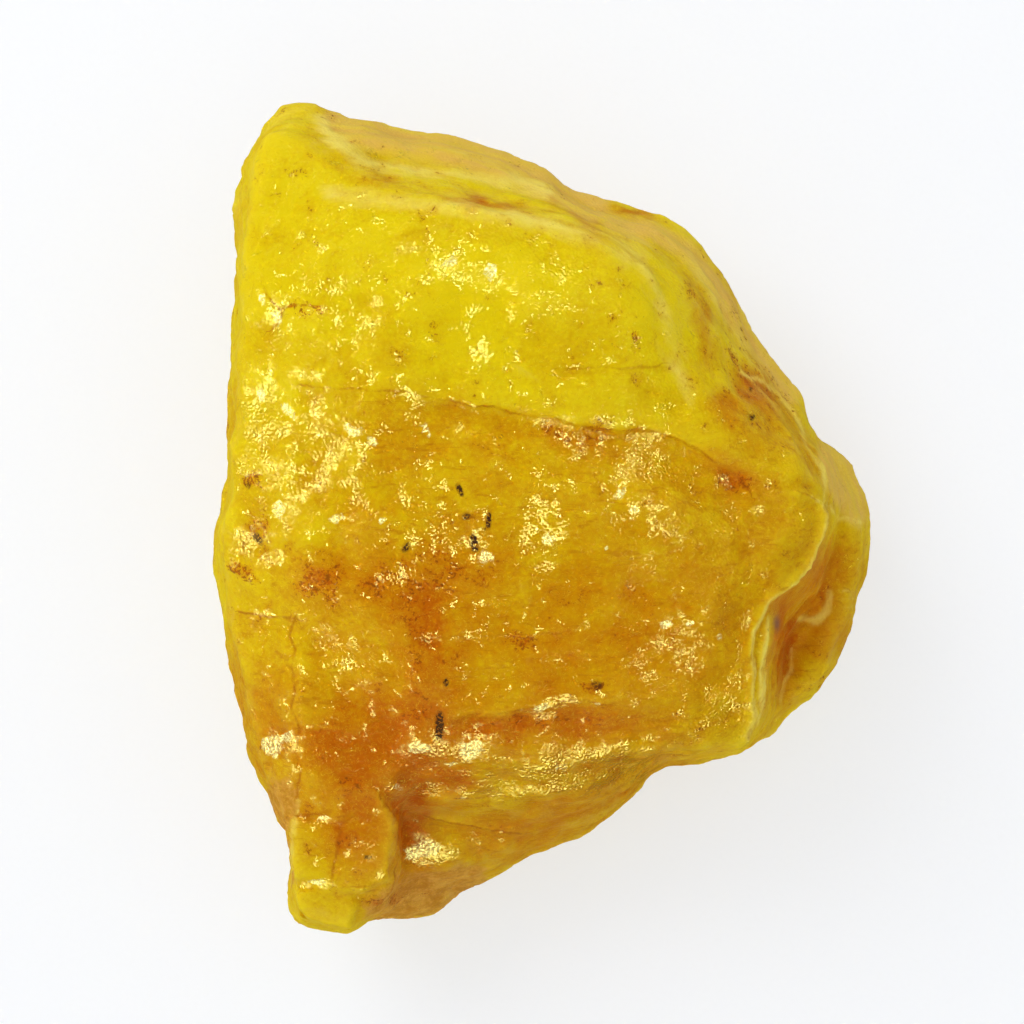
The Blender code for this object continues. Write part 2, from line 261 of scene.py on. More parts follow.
# Pale creamy streaks that follow the fibres: (points, strength, half width).
STREAKS = {
    "upper streak": (
        [(-11.3, 20.0), (-10.6, 18.9), (-9.2, 17.8), (-7.2, 17.4), (-4.7, 17.1), (-1.7, 17.0), (0.0, 16.5)],
        0.75, 0.55),
    "brow streak": (
        [(-10.6, 16.0), (-8.6, 15.7), (-6.2, 15.5), (-3.7, 15.1), (-0.8, 14.7), (2.2, 13.8), (3.9, 12.7)],
        0.62, 0.65),
    "shoulder streak": (
        [(3.9, 12.7), (4.9, 12.3), (5.6, 10.8), (6.0, 8.9), (6.6, 7.1), (7.1, 6.1)],
        0.45, 0.6),
    "right flank streak": ([(7.2, 13.4), (8.3, 11.4), (9.4, 9.4), (10.4, 8.0)], 0.45, 0.35),
    "rim of the overhang": (RIMS["rim of the overhang"][0][2:], 0.90, 0.15),
    "outer rim": (RIMS["outer rim"][0], 0.80, 0.14),
    "edge of the right flank": ([(9.7, 7.4), (11.1, 6.8), (12.2, 5.8), (12.9, 4.5), (13.0, 3.6)], 0.65, 0.20),
    "edge of the pane": ([(13.0, 3.6), (13.9, 2.6), (14.0, 0.9), (14.7, 0.1), (16.2, -0.1)], 0.60, 0.16),
    "first stripe in the lobe": ([(14.9, -3.5), (16.3, -3.7)], 0.6, 0.10),
    "second stripe in the lobe": ([(14.9, -3.9), (16.2, -4.1)], 0.6, 0.10),
    "third stripe in the lobe": ([(14.8, -4.3), (15.9, -4.5)], 0.5, 0.10),
    "vein in the lobe": ([(14.4, -3.7), (14.4, -4.6), (13.7, -5.1), (13.0, -5.0)], 0.75, 0.28),
    "edge in the lobe": ([(12.6, -6.5), (12.5, -7.7), (12.2, -8.2), (12.0, -9.3)], 0.55, 0.18),
    "left edge of the foot": ([(-12.3, -13.9), (-12.5, -15.0), (-12.6, -16.4), (-12.8, -18.3)], 0.6, 0.22),
}

# Smooth apricot bands near the outline of the flanks, given as the streaks are.
APRICOT_BANDS = {
    "upper flank": (
        [(-10.3, 19.8), (-8.7, 19.4), (-6.2, 18.9), (-3.7, 18.4), (-1.2, 17.8), (0.8, 16.9), (2.3, 15.8)],
        0.95, 1.2),
    "right flank": (
        [(3.4, 14.9), (5.2, 14.5), (7.0, 13.6), (8.4, 12.0), (9.6, 10.2), (11.0, 8.2), (12.4, 6.4)],
        0.75, 0.8),
}

# Patches are ellipses: (x, y, half length, half width, heading in degrees, strength).
APRICOT = {
    "pane at the top of the lobe": (15.1, 1.9, 2.5, 1.15, 118, 1.3),
    "right end of the upper flank": (4.4, 14.2, 1.6, 0.7, -25, 0.6),
    "end of the foot": (-10.9, -19.8, 2.0, 0.8, -8, 0.35),
}
TAN = {
    "shelf": (-6.0, -19.0, 3.2, 1.5, 15, 1.3),
    "chip": (-13.2, -14.2, 0.9, 1.4, 0, 1.3),
    "left edge, low": (-13.1, -16.5, 0.35, 2.4, 0, 1.2),
}
GOLD = {
    "middle": (-1.0, -1.0, 16.0, 6.0, -8, 0.27),
    "lower half": (-2.0, -9.5, 15.0, 6.5, 0, 0.44),
    "right": (9.0, -2.0, 6.5, 8.0, 0, 0.20),
    "foot": (-9.0, -15.0, 5.0, 6.0, 0, 0.40),
    "left side": (-15.0, -9.0, 3.0, 6.0, 10, 0.18),
    "right flank": (10.8, 5.0, 3.4, 2.6, -50, 0.22),
    "slab above the step": (-9.5, 8.2, 5.0, 1.3, -5, 0.12),
    "outside the overhang": (13.3, -3.6, 2.2, 1.3, 50, 0.40),
    "band left of the step": (-8.0, 4.0, 7.0, 2.6, -5, 0.20),
    "below the step": (1.2, 3.9, 3.8, 1.0, -10, 0.27),
    "low in the lobe": (15.3, -6.6, 1.8, 2.4, 0, 0.30),
    "end of the step": (9.2, 2.5, 1.5, 0.7, -45, 0.40),
    "stain across": (-6.6, -2.9, 5.6, 1.9, 5, 0.32),
    "stain down": (-5.9, -8.0, 1.7, 5.2, 0, 0.34),
    "stain on the ledge": (-0.5, -10.1, 6.0, 0.9, 5, 0.22),
    "stain by the slope": (-7.0, -12.0, 0.9, 1.4, 0, 0.35),
    "hollow by the foot": (-6.8, -15.0, 0.9, 1.9, 0, 0.70),
    "top of the foot": (-9.7, -11.8, 2.3, 2.4, 0, 0.20),
    "speckled stain": (-11.3, -2.7, 1.4, 1.2, 0, 0.28),
    "left stain": (-14.6, -0.4, 1.0, 1.9, 0, 0.16),
    "orange patch on the flank": (0.5, 16.4, 1.0, 0.55, 100, 0.75),
    "orange patch at the rim": (1.8, 15.3, 1.2, 0.5, -55, 0.65),
    "orange streak in the flank": (-3.1, 15.6, 2.0, 0.38, -11, 0.70),
    "gold between the streaks": (-8.9, 16.9, 3.2, 0.35, -14, 0.20),
    "brown rim": (4.5, 15.4, 1.2, 0.35, -10, 0.65),
    "gold in the right flank": (7.7, 9.7, 2.0, 0.6, -75, 0.40),
    "dark gold in the right flank": (10.4, 6.4, 1.4, 0.8, -37, 0.50),
    "dark gold pane": (9.0, 5.5, 0.9, 0.7, -10, 0.45),
    "right edge": (9.6, 10.6, 2.6, 0.35, -60, 0.50),
    "lobe": (15.0, -2.2, 2.0, 2.0, 0, 0.40),
    "low in the lobe, right": (14.6, -5.6, 1.6, 1.2, 30, 0.20),
    "groove by the overhang": (11.9, -6.4, 0.8, 3.4, 8, 0.46),
    "recess of the foot": (-9.9, -15.2, 0.4, 1.3, 5, 0.30),
    "middle slab": (-6.0, 12.5, 5.0, 1.6, 0, -0.08),
    "lower slopes": (0.0, -15.5, 7.5, 2.2, 22, 0.36),
    "under the ledge": (-0.5, -10.6, 5.0, 1.2, 4, 0.12),
    "hollow of the slope": (-4.6, -12.9, 2.0, 0.6, -12, 0.35),
    "shelf": (-6.0, -18.6, 2.6, 1.2, 15, 0.22),
    "left side of the foot": (-11.4, -16.5, 1.1, 1.7, 0, -0.10),
    "right side of the foot": (-8.6, -16.0, 1.0, 2.4, 0, 0.12),
}
CREAM = {
    "end of the foot": (-10.8, -19.6, 2.0, 0.9, -5, 0.20),
    "slab by the scar": (3.6, 13.2, 2.0, 1.2, -30, 0.25),
    "high on the nose": (-10.2, 18.8, 0.5, 1.2, 40, 0.45),
    "wall of the overhang": (12.6, -4.4, 1.3, 4.6, -22, -0.40),
    "shelf by the foot": (-6.0, -18.7, 2.8, 1.5, 15, -0.40),
}
GLINT = {
    "left edge, upper": (-13.2, 10.1, 1.3, 0.6, 100, 1.0),
    "left band, west": (-14.2, 5.7, 3.1, 1.5, 95, 0.70),
    "left band": (-11.0, 4.7, 4.0, 1.7, -30, 0.58),
    "left band, low": (-11.5, 2.0, 4.1, 2.1, -5, 0.52),
    "slab, left": (-10.6, 10.0, 3.2, 3.6, 0, 0.42),
    "left side, low": (-14.3, -1.2, 1.5, 1.3, 0, 0.70),
    "diagonal": (-6.6, 5.8, 2.2, 0.7, -62, 0.85),
    "diagonal, upper": (-6.5, 9.1, 1.6, 0.5, 100, 0.45),
    "upper slab": (-4.2, 12.5, 2.5, 1.6, -20, 0.74),
    "upper slab, middle": (-3.2, 8.7, 2.5, 1.3, -55, 0.72),
    "upper slab, right": (0.3, 10.7, 2.5, 1.7, -50, 0.60),
    "spot on the slab": (4.6, 8.8, 0.5, 0.4, 0, 0.80),
    "below the step": (0.7, 4.5, 2.0, 1.1, -30, 0.70),
    "right of centre": (4.4, 3.4, 2.1, 2.0, 0, 0.85),
    "right of centre, low": (5.0, -0.5, 2.3, 2.2, 0, 0.55),
    "centre, left": (-5.6, -0.5, 2.8, 2.5, 0, 0.72),
    "by the dark marks": (-3.2, -1.2, 0.7, 1.0, 0, 1.0),
    "centre": (-0.3, 0.0, 1.5, 3.0, 0, 0.95),
    "across": (-6.2, -3.3, 3.0, 1.4, 5, 0.30),
    "glint line": (-3.7, -5.7, 3.1, 0.4, 3, 0.75),
    "lower right": (7.2, -5.4, 3.0, 1.8, -8, 0.44),
    "lower right, low": (4.9, -6.9, 2.4, 1.3, 0, 0.44),
    "right of the ledge": (7.6, -9.0, 2.0, 2.0, 0, 0.38),
    "low ledge": (0.7, -9.1, 2.1, 0.5, 8, 0.95),
    "slope by the foot": (-4.7, -11.2, 2.6, 1.2, 0, 0.95),
    "bright slope": (2.2, -12.4, 4.6, 1.6, 4, 1.15),
    "terrace": (-4.7, -13.3, 3.3, 0.6, -3, 0.80),
    "patch by the foot": (-5.8, -16.7, 1.5, 0.8, 15, 1.10),
    "facet on the left block": (-13.3, -11.1, 1.3, 0.7, 10, 0.95),
    "left block": (-10.1, -6.6, 2.0, 2.1, 0, 0.45),
    "left block, top line": (-14.0, -4.5, 1.3, 0.3, -10, 0.60),
    "shoulder of the foot": (-11.2, -14.8, 1.3, 0.3, -5, 0.62),
    "foot spot, middle": (-8.8, -16.6, 0.5, 0.4, 0, 0.40),
    "end ridge of the foot": (-11.3, -18.1, 1.0, 0.25, 0, 0.70),
    "foot, upper left": (-12.0, -12.4, 0.5, 0.4, 0, 0.70),
    "nub": (8.7, 0.4, 2.1, 1.7, 0, 0.35),
    "right spot": (10.2, 6.5, 0.3, 0.3, 0, 0.90),
    "right spot, low": (10.2, 5.1, 0.3, 0.3, 0, 0.90),
    "below the nub": (9.5, -8.4, 1.1, 3.6, 0, 0.35),
    "left edge of the nose": (-14.8, 14.4, 0.5, 2.0, 0, 0.40),
    "nose spot": (-13.0, 16.5, 0.4, 0.4, 0, 0.60),
}
# Slopes that glint although they are steep.
POLISHED = {
    "bright slope": (1.7, -12.6, 4.8, 1.3, 5, 1.3),
    "terrace": (-5.2, -13.5, 2.8, 0.6, -3, 1.0),
}
# The brightest, almost white spots of the glints: polished, and painted near-white as a painted highlight.
WHITE_GLINTS = {
    "slope, corner": (-6.2, -11.2, 0.60, 0.36, 0, 1.0),
    "slope, by the corner": (-3.7, -11.2, 0.70, 0.62, 30, 1.0),
    "slope, below": (-4.7, -12.0, 0.44, 0.25, 0, 0.6),
    "slope, middle": (0.7, -12.2, 0.60, 0.28, -10, 0.5),
    "terrace, end": (-7.3, -13.2, 0.45, 0.20, -50, 0.5),
    "terrace": (-4.3, -13.7, 0.85, 0.20, -5, 0.6),
    "patch by the foot": (-6.1, -16.6, 1.00, 0.55, 15, 1.0),
    "facet on the left block": (-13.6, -11.2, 0.75, 0.68, 0, 1.0),
    "facet on the left block, upper": (-12.8, -10.6, 0.38, 0.25, 30, 0.9),
    "end of the foot": (-11.4, -18.0, 0.50, 0.18, 0, 1.0),
    "shoulder of the foot": (-11.0, -14.75, 0.45, 0.14, 0, 0.8),
    "low ledge": (-0.2, -9.2, 0.46, 0.20, 15, 1.0),
    "low ledge, right": (2.6, -9.0, 0.22, 0.15, 0, 0.9),
    "band, top": (-14.0, 6.2, 0.25, 0.42, 20, 0.9),
    "band, wedge": (-12.7, 5.4, 0.78, 0.32, -40, 1.0),
    "band, middle": (-9.4, 4.4, 0.56, 0.28, -30, 1.0),
    "band, right": (-8.4, 3.9, 0.36, 0.20, -10, 0.9),
    "diagonal": (-5.8, 4.4, 0.50, 0.20, -60, 1.0),
    "band, low left": (-13.1, 0.6, 0.40, 0.62, 10, 0.9),
    "band, low": (-10.3, 0.1, 0.50, 0.28, 10, 1.0),
    "band, end": (-8.0, 0.0, 0.30, 0.16, 20, 0.8),
    "by the dark marks": (-3.0, -1.8, 0.45, 0.38, 0, 1.0),
    "centre right": (3.6, 1.3, 0.36, 0.34, 0, 1.0),
    "centre right, low": (4.3, 0.5, 0.30, 0.20, 20, 0.9),
    "middle": (2.9, -1.4, 0.25, 0.25, 0, 0.8),
    "right pair": (5.9, -5.1, 0.32, 0.26, 0, 1.0),
    "right pair, second": (7.1, -5.1, 0.28, 0.22, 0, 1.0),
    "right": (8.6, -5.8, 0.26, 0.20, 0, 0.9),
    "centre": (0.1, -0.9, 0.38, 0.36, 0, 0.9),
    "upper slab": (-2.7, 12.1, 0.34, 0.48, 0, 0.9),
    "upper slab, left": (-4.6, 12.6, 0.50, 0.24, 20, 0.9),
    "fork": (-13.2, 9.9, 0.25, 0.45, 20, 1.0),
    "fork, upper": (-13.9, 10.8, 0.20, 0.30, 0, 0.9),
}
RUST = {
    "speckled stain": (-11.2, -2.7, 1.3, 1.1, 0, 0.9),
    "across": (-6.4, -2.8, 3.4, 1.5, 5, 0.50),
    "down": (-6.4, -7.0, 0.8, 3.0, 5, 0.5),
    "left upper": (-14.6, 1.8, 0.6, 0.7, 0, 0.8),
    "left middle": (-14.1, -0.6, 0.8, 1.0, -30, 0.85),
    "left lower": (-14.8, -2.6, 1.1, 0.4, -20, 0.8),
    "under the step": (1.2, 4.3, 2.6, 0.5, -10, 0.5),
    "step end": (9.4, 2.0, 0.9, 0.6, -45, 0.6),
    "on the slab": (4.6, 8.7, 0.35, 0.2, -30, 0.9),
    "centre low": (-1.3, -5.9, 0.9, 0.3, 0, 0.8),
    "ledge right": (2.6, -8.1, 0.8, 0.3, -5, 0.85),
    "along the ledge": (-0.4, -9.9, 4.6, 0.35, 4, 0.45),
    "ledge left": (-6.6, -9.6, 0.9, 0.5, 0, 0.6),
    "foot spots": (-9.4, -13.2, 1.2, 0.5, -40, 0.75),
    "foot recess": (-9.9, -15.2, 0.35, 1.3, 5, 0.30),
    "foot corner": (-8.3, -18.9, 1.0, 0.4, -20, 0.55),
    "flank": (10.0, 8.0, 2.4, 3.2, 45, 0.26),
    "lobe foot": (13.6, -7.6, 1.2, 1.2, 0, 0.3),
    "branch": (-12.0, 10.2, 1.0, 0.6, 0, 0.5),
}
INK = {
    "upper tick": (-4.2, 1.5, 0.34, 0.09, -65, 1.0),
    "blot": (-3.9, 0.2, 0.19, 0.13, 20, 1.0),
    "right tick": (-2.8, 0.0, 0.38, 0.09, 88, 1.0),
    "low tick": (-3.5, -1.1, 0.44, 0.14, 97, 1.0),
    "left tick": (-6.8, -1.3, 0.25, 0.13, 50, 1.0),
    "left edge": (-14.2, -0.9, 0.34, 0.13, -50, 0.9),
    "left edge, upper": (-14.7, 1.8, 0.22, 0.10, -60, 0.6),
    "streak by the ledge": (-5.2, -10.1, 0.70, 0.16, 89, 1.0),
    "spot": (-4.9, -7.9, 0.20, 0.10, 85, 1.0),
    "red dot": (-1.5, -8.7, 0.08, 0.08, 0, 0.7),
    "spot on the ledge": (2.5, -8.1, 0.26, 0.20, 0, 0.7),
    "dot on the flank": (10.2, 5.1, 0.15, 0.13, 0, 1.0),
    "dot on the flank, upper": (10.2, 6.5, 0.10, 0.10, 0, 0.8),
    "dot on the foot": (-8.8, -16.7, 0.16, 0.13, 0, 0.9),
}
PURPLE = {"by the groove": (11.5, -5.1, 0.22, 0.4, 10, 1.0)}


def new_object(name, data):
    made = bpy.data.objects.new(name, data)
    bpy.context.scene.collection.objects.link(made)
    return made


def apply_modifiers(obj):
    graph = bpy.context.evaluated_depsgraph_get()
    made = bpy.data.meshes.new_from_object(obj.evaluated_get(graph))
    obj.modifiers.clear()
    obj.data = made


def fine_skin(solid):
    """An even fine mesh over the solid, with the solid's flat facets smoothed away."""
    skin = new_object("rough_stone", solid.data.copy())
    cells = skin.modifiers.new("even cells", "REMESH")
    cells.mode = "VOXEL"
    cells.voxel_size = SKIN_CELL
    soften = skin.modifiers.new("soften", "SMOOTH")
    soften.factor = SKIN_SOFTENING
    soften.iterations = SKIN_SOFTENING_PASSES
    apply_modifiers(skin)
    return skin


def coordinates(mesh):
    flat = np.empty(len(mesh.vertices) * 3)
    mesh.vertices.foreach_get("co", flat)
    return flat.reshape(-1, 3) / MM


def normals(mesh):
    flat = np.empty(len(mesh.vertices) * 3)
    mesh.vertex_normals.foreach_get("vector", flat)
    return flat.reshape(-1, 3)


def move_to(mesh, points):
    mesh.vertices.foreach_set("co", (points * MM).ravel())
    mesh.update()


def smoothstep(low, high, value):
    t = np.clip((value - low) / (high - low), 0.0, 1.0)
    return t * t * (3.0 - 2.0 * t)


def to_line(points, line):
    """How far each point is from a line seen from above, and whether it lies left (1) or right (-1) of it."""
    nearest = np.full(len(points), np.inf)
    side = np.ones(len(points))
    for start, end in zip(line, line[1:]):
        a = np.array(start)
        along = np.array(end) - a
        from_a = points[:, :2] - a
        share = np.clip(from_a @ along / (along @ along), 0.0, 1.0)
        gap = np.hypot(*(from_a - share[:, None] * along).T)
        closer = gap < nearest
        nearest[closer] = gap[closer]
        turn = along[0] * from_a[:, 1] - along[1] * from_a[:, 0]
        side[closer] = np.where(turn[closer] >= 0.0, 1.0, -1.0)
    return nearest, side


def bell(gap, half_width):
    return np.exp(-(gap / half_width) ** 2)


def in_ellipse(points, x, y, half_length, half_width, heading):
    """Each point's place along and across an ellipse, in half axes, and its distance from the middle."""
    turn = math.radians(heading)
    dx = points[:, 0] - x
    dy = points[:, 1] - y
    along = (dx * math.cos(turn) + dy * math.sin(turn)) / half_length
    across = (dy * math.cos(turn) - dx * math.sin(turn)) / half_width
    return along, across, np.hypot(dx, dy)


def patches(points, table):
    """The sum of a table's soft ellipses at each point."""
    total = np.zeros(len(points))
    for *ellipse, strength in table.values():
        u, v, _ = in_ellipse(points, *ellipse)
        total += strength * np.exp(-PATCH_FALL * (u * u + v * v) ** PATCH_SHARPNESS)
    return total


def lined(field, points, table, share):
    """A field raised to a table's soft lines wherever they are stronger."""
    for line, strength, half_width in table.values():
        gap, _ = to_line(points, line)
        field = np.maximum(field, share * strength * bell(gap, half_width))
    return field


def fractal(points, size, octaves=OCTAVES, stretch=(1.0, 1.0, 1.0), turn=0.0):
    """Layered noise of about -1 to 1, with features of the given size in millimetres."""
    x, y, z = points.T
    c, s = math.cos(turn), math.sin(turn)
    turned = np.column_stack((x * c + y * s, y * c - x * s, z))
    scaled = turned / (np.array(stretch) * size)
    return np.array([noise.fractal(Vector(p), 1.0, 2.0, octaves) for p in scaled])


def scoops(points, size):
    """Shell-like hollows with low ridges between them, from about -0.5 to 0.5."""
    return np.array([noise.voronoi(Vector(p))[0][0] for p in points / size]) - 0.5


def warped(points, size, reach):
    """The points pushed about sideways, so that patches drawn with them have broken edges."""
    moved = points.copy()
    moved[:, 0] += reach * fractal(points, size)
    moved[:, 1] += reach * fractal(points + SECOND_SEED, size)
    return moved


def along_fibres(points):
    """Each point as (way along the fibres, shortened; way across them; height): the fibres are wide arcs."""
    x = points[:, 0] - FIBRE_CENTRE[0]
    y = points[:, 1] - FIBRE_CENTRE[1]
    return np.column_stack((np.arctan2(y, x) * FIBRE_RADIUS * FIBRE_STRETCH, np.hypot(x, y), points[:, 2]))


def net(points):
    """The net of lines between the small facets of the flanks: 1 on a line, 0 inside a facet."""
    shares = []
    for p in warped(points, *NET_WARP) / NET_SIZE:
        near = noise.voronoi(Vector(p))[0]
        shares.append(near[1] - near[0])
    return 1.0 - smoothstep(*NET_LINE_RANGE, np.array(shares))


def plates(points):
    """A level of -0.5 to 0.5 for each of the low plates the upper side is broken into."""
    levels = []
    for p in warped(points, *PLATE_WARP) * PLATE_SHAPE / PLATE_SIZE:
        middle = noise.voronoi(Vector(p))[1][0]
        levels.append(noise.cell(middle * PLATE_SEED))
    return 0.5 * np.array(levels)


def ticks(points):
    """The place of each point in the nearest ink mark's own ellipse, and the mark's strength there."""
    result = np.zeros((len(points), 3))
    result[:, 0] = INK_FAR
    nearest = np.full(len(points), np.inf)
    for x, y, half_length, half_width, heading, strength in INK.values():
        u, v, off = in_ellipse(points, x, y, half_length, half_width, heading)
        gap = off / half_length
        closer = gap < nearest
        nearest[closer] = gap[closer]
        reached = strength * (1.0 - smoothstep(*INK_END_RANGE, gap))
        result[closer] = np.column_stack((u, v, reached))[closer]
    return result


def within(points, corners):
    """How far each point lies inside a convex outline seen from above, negative outside."""
    inside = np.full(len(points), np.inf)
    for start, end in zip(corners, corners[1:] + corners[:1]):
        a = np.array(start)
        along = np.array(end) - a
        from_a = points[:, :2] - a
        turn = along[0] * from_a[:, 1] - along[1] * from_a[:, 0]
        inside = np.minimum(inside, turn / np.hypot(*along))
    return inside


def cut_faces(skin):
    """Makes the named faces flat, and lets the upper face end sharply at the overhang."""
    points = coordinates(skin.data)
    up = normals(skin.data)[:, 2]
    height = points[:, 2].copy()
    for corners, (x, y, z), rise_x, rise_y in FLATS.values():
        flat = z + rise_x * (points[:, 0] - x) + rise_y * (points[:, 1] - y)
        share = smoothstep(*FLAT_EDGE_RANGE, within(points, corners)) * smoothstep(*FLAT_SLOPE_RANGE, up)
        height += share * (flat - height)
    gap, side = to_line(points, OVERHANG)
    beside = smoothstep(*OVERHANG_START_RANGE, points[:, 1])
    beside *= 1.0 - smoothstep(*OVERHANG_END_RANGE, points[:, 1])
    lowered = np.clip(OVERHANG_FALL * gap / OVERHANG_HEIGHT, 0.0, OVERHANG_MOST) * beside
    outside = (side < 0) & (height > LOBE_LEVEL) & (gap < OVERHANG_REACH)
    height[outside] -= (lowered * (height - LOBE_LEVEL))[outside]
    points[:, 2] = height
    spread = neighbour_mean(skin.data, points, SLACK_PASSES)
    slack = np.where(outside, smoothstep(*SLACK_RANGE, gap) * beside, 0.0)
    points += slack[:, None] * (spread - points)
    move_to(skin.data, points)


def carve(points, up):
    """The height, in millimetres, of the named ledges, cracks and rims."""
    height = np.zeros(len(points))
    ragged = warped(points, *RAGGED)
    uneven = UNEVEN_MIDDLE + UNEVEN_SWING * fractal(points, UNEVEN_SIZE, UNEVEN_OCTAVES)
    uneven = np.clip(uneven, *UNEVEN_LIMITS)
    for line, drop, reach in STEPS.values():
        gap, side = to_line(ragged, line)
        ramp = smoothstep(0.0, STEP_SLOPE + STEP_SLOPE_PER_DROP * drop, gap)
        low = np.where(side < 0, -drop * ramp * bell(gap, reach), 0.0)
        high = np.where(side >= 0, LIP_SHARE * drop * bell(gap, LIP_REACH_SHARE * reach), 0.0)
        height += low + high
    for line, depth, half_width in CRACKS.values():
        gap, _ = to_line(ragged, line)
        height -= uneven * depth * bell(gap, half_width)
    for line, rise, half_width in RIMS.values():
        gap, _ = to_line(ragged, line)
        height += uneven * rise * bell(gap, half_width)
    return height * smoothstep(*CARVED_SLOPE_RANGE, up)


def weather(skin):
    """Gives the skin its relief, and returns the points and normals before it and the level of each plate."""
    points = coordinates(skin.data)
    normal = normals(skin.data)
    up = normal[:, 2]
    steep = 1.0 - np.abs(up)
    flank = np.clip(steep * FLANK_GAIN, 0.0, 1.0)
    relief = SWELL_HEIGHT * fractal(points, SWELL_SIZE)
    relief += SCOOP_HEIGHT * scoops(points, SCOOP_SIZE)
    relief += FIBRE_HEIGHT * flank * fractal(along_fibres(points), FIBRE_SIZE)
    relief -= NET_DEPTH * flank * net(points)
    relief += GRIT_HEIGHT * fractal(points, GRIT_SIZE, stretch=GRIT_STRETCH, turn=GRIT_TURN)
    plate = plates(points)
    relief += PLATE_HEIGHT * (1.0 - flank) * plate
    relief += carve(points, up)
    off_floor = smoothstep(*RESTING_EDGE_RANGE, points[:, 2])
    moved = points + normal * (relief * off_floor)[:, None]
    moved[:, 2] = np.maximum(moved[:, 2], 0.0)
    move_to(skin.data, moved)
    return points, normal, plate


def neighbour_mean(mesh, values, passes):
    """Each vertex's value spread over its neighbours, a number of times."""
    edges = np.empty(len(mesh.edges) * 2, int)
    mesh.edges.foreach_get("vertices", edges)
    a, b = edges.reshape(-1, 2).T
    count = np.bincount(a, minlength=len(values)) + np.bincount(b, minlength=len(values))
    for _ in range(passes):
        total = np.zeros_like(values)
        for axis, column in enumerate(values.T):
            from_b = np.bincount(a, column[b], len(values))
            from_a = np.bincount(b, column[a], len(values))
            total[:, axis] = from_b + from_a
        values = 0.5 * values + 0.5 * total / count[:, None]
    return values


def bulge(skin, passes):
    """How far each vertex stands out of its surroundings, in millimetres."""
    points = coordinates(skin.data)
    around = neighbour_mean(skin.data, points, passes)
    return np.einsum("ij,ij->i", points - around, normals(skin.data))


def store(mesh, name, values):
    layer = mesh.attributes.new(name, "FLOAT", "POINT")
    layer.data.foreach_set("value", np.clip(values, 0.0, 1.0).astype(np.float32))


def store_vectors(mesh, name, vectors):
    layer = mesh.attributes.new(name, "FLOAT_VECTOR", "POINT")
    layer.data.foreach_set("vector", vectors.astype(np.float32).ravel())


def mark(skin, points, normal, plate):
    """Stores where the stains, streaks, specks and polished patches are, and where shade, a glow and white
    glints are painted.
    """
    mesh = skin.data
    up = normal[:, 2]
    looks_up = smoothstep(*LOOKS_UP_RANGE, up)
    around = neighbour_mean(mesh, looks_up[:, None], FADE_PASSES)[:, 0]
    seen = np.maximum(looks_up, smoothstep(*SEEN_RANGE, around))
    flank = smoothstep(*FLANK_RANGE, 1.0 - up)
    broken = warped(points, *BROKEN)
    wavering = warped(points, *WAVERING)
    drift = fractal(points, DRIFT_SIZE)

    standing = bulge(skin, BULGE_PASSES) * (HIDDEN_SHARE + (1.0 - HIDDEN_SHARE) * seen)
    # Hollows take painted shade
    store(mesh, "hollow", -standing / HOLLOW_DEPTH)
    # Bulges take a painted pale glow, as if light shone through their thin edges
    store(mesh, "edge_glow", standing / EDGE_GLOW_HEIGHT)

    mottle = fractal(points + GOLD_MOTTLE_SEED, GOLD_MOTTLE_SIZE)
    gold = GOLD_MEAN + GOLD_DRIFT * drift + GOLD_MOTTLE * mottle
    gold += seen * patches(broken, GOLD) + (1.0 - seen) * (HIDDEN_GOLD + HIDDEN_GOLD_DRIFT * drift)
    gold -= GOLD_IN_HOLLOWS * np.clip(standing, -GOLD_HOLLOW_LIMIT, GOLD_HOLLOW_LIMIT)
    gold -= GOLD_IN_PLATES * plate
    store(mesh, "gold", gold)

    upper_side = smoothstep(*UPPER_SIDE_RANGE, points[:, 1] + UPPER_SIDE_LEAN * points[:, 0])
    cream = flank * (CREAM_ON_FLANKS + CREAM_ON_UPPER_FLANKS * upper_side) + seen * patches(broken, CREAM)
    cream = lined(cream, wavering, STREAKS, seen)
    store(mesh, "cream", cream + CREAM_MOTTLE * fractal(points, CREAM_MOTTLE_SIZE))

    not_far = seen ** APRICOT_FADE
    apricot = not_far * patches(warped(points, *APRICOT_WARP), APRICOT)
    apricot = lined(apricot, wavering, APRICOT_BANDS, not_far)
    hidden_apricot = flank * (1.0 - seen) * (HIDDEN_APRICOT + HIDDEN_APRICOT_DRIFT * drift)
    store(mesh, "apricot", np.maximum(apricot, hidden_apricot))

    level = smoothstep(*LEVEL_SLOPE_RANGE, up) * smoothstep(*LEVEL_HEIGHT_RANGE, points[:, 2])
    store(mesh, "level", np.maximum(level, seen * patches(broken, POLISHED)))
    store(mesh, "flank", flank * upper_side)
    net_shown = NET_SHOWN + NET_SHOWN_ABOVE * smoothstep(*NET_SLOPE_RANGE, up)
    store(mesh, "facet", flank * net(points) * net_shown)
    store_vectors(mesh, "fibres", along_fibres(points))

    store(mesh, "tan", seen * patches(broken, TAN))
    store(mesh, "rust", seen * patches(broken, RUST))
    store(mesh, "glint", seen * patches(warped(points, *SCATTERED), GLINT))
    store(mesh, "white_glint", seen * patches(warped(points, *WHITE_GLINT_WARP), WHITE_GLINTS))
    store(mesh, "purple", seen * patches(points, PURPLE))
    ink = ticks(points)
    ink[:, 2] *= seen
    store_vectors(mesh, "ink", ink)

    ragged = warped(points, *RAGGED)
    nearest = np.full(len(points), CREASE_REACH)
    across = np.full(len(points), CREASE_REACH)
    deep = np.zeros(len(points))
    for name, (line, depth, _) in {**CRACKS, **STEPS}.items():
        gap, side = to_line(ragged, line)
        closer = gap < nearest
        nearest[closer] = gap[closer]
        across[closer] = (gap * side)[closer]
        full = min(1.0, depth / CREASE_FULL_DEPTH)
        deep[closer] = FAINT_CREASE_STRENGTH if name in FAINT_CREASES else full
    store(mesh, "crease_side", 0.5 + 0.5 * across / CREASE_REACH)
    store(mesh, "crease", seen * deep)


